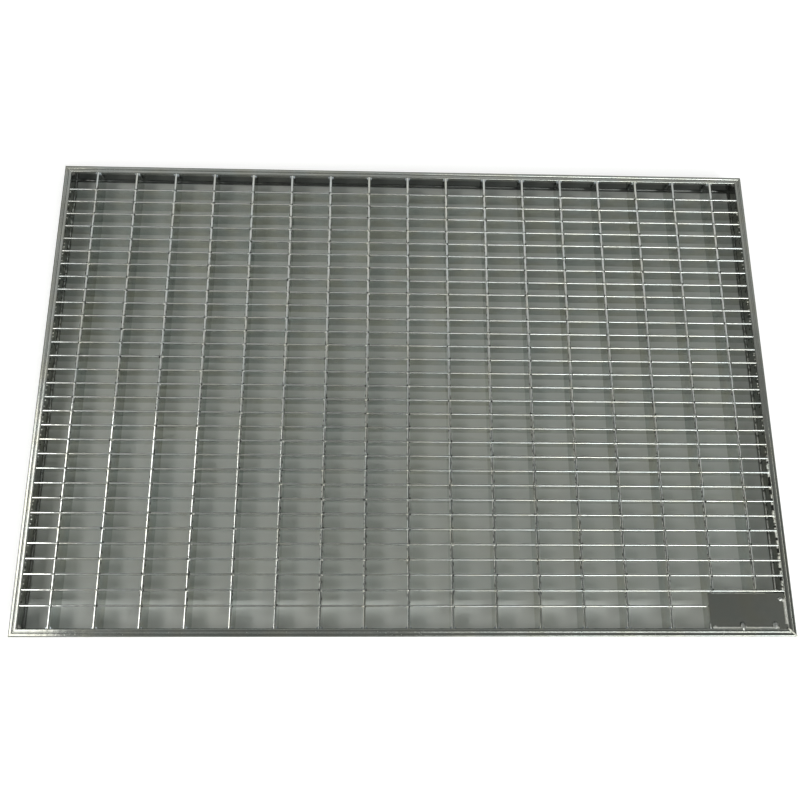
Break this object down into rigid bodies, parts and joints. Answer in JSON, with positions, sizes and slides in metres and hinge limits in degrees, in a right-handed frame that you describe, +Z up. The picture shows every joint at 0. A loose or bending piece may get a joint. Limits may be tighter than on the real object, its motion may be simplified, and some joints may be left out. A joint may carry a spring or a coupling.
{
  "type": "mesh grate",
  "caption": "Galvanised steel mesh grate for an entrance or drainage well: pressed flat-bar grid in a mitred rolled-edging frame, with a bare corner plate.",
  "frame": {"origin": "middle of the underside of the frame", "axes": "+X along the long side, across the bearing bars; +Y along the short side, away from the corner plate; +Z up, to the walking surface"},
  "size_m": [0.59, 0.39, 0.02],
  "materials": {
    "frame_zinc": "satin",
    "bearing_zinc": "satin",
    "cross_zinc": "satin",
    "plate_zinc": "satin",
    "weld_zinc": "satin"
  },
  "bodies": {
    "root": {"frame_front": "frame_zinc", "frame_back": "frame_zinc", "frame_left": "frame_zinc", "frame_right": "frame_zinc", "bearing_bar_1": "bearing_zinc", "bearing_bar_2": "bearing_zinc", "bearing_bar_3": "bearing_zinc", "bearing_bar_4": "bearing_zinc", "bearing_bar_5": "bearing_zinc", "bearing_bar_6": "bearing_zinc", "bearing_bar_7": "bearing_zinc", "bearing_bar_8": "bearing_zinc", "bearing_bar_9": "bearing_zinc", "bearing_bar_10": "bearing_zinc", "bearing_bar_11": "bearing_zinc", "bearing_bar_12": "bearing_zinc", "bearing_bar_13": "bearing_zinc", "bearing_bar_14": "bearing_zinc", "bearing_bar_15": "bearing_zinc", "bearing_bar_16": "bearing_zinc", "bearing_bar_17": "bearing_zinc", "cross_bar_1": "cross_zinc", "cross_bar_2": "cross_zinc", "cross_bar_3": "cross_zinc", "cross_bar_4": "cross_zinc", "cross_bar_5": "cross_zinc", "cross_bar_6": "cross_zinc", "cross_bar_7": "cross_zinc", "cross_bar_8": "cross_zinc", "cross_bar_9": "cross_zinc", "cross_bar_10": "cross_zinc", "cross_bar_11": "cross_zinc", "cross_bar_12": "cross_zinc", "cross_bar_13": "cross_zinc", "cross_bar_14": "cross_zinc", "cross_bar_15": "cross_zinc", "cross_bar_16": "cross_zinc", "cross_bar_17": "cross_zinc", "cross_bar_18": "cross_zinc", "cross_bar_19": "cross_zinc", "cross_bar_20": "cross_zinc", "cross_bar_21": "cross_zinc", "cross_bar_22": "cross_zinc", "cross_bar_23": "cross_zinc", "cross_bar_24": "cross_zinc", "cross_bar_25": "cross_zinc", "cross_bar_26": "cross_zinc", "cross_bar_27": "cross_zinc", "cross_bar_28": "cross_zinc", "cross_bar_29": "cross_zinc", "cross_bar_30": "cross_zinc", "cross_bar_31": "cross_zinc", "corner_plate": "plate_zinc", "end_welds": "weld_zinc", "corner_welds": "weld_zinc", "plate_welds": "weld_zinc"}
  },
  "joints": []
}
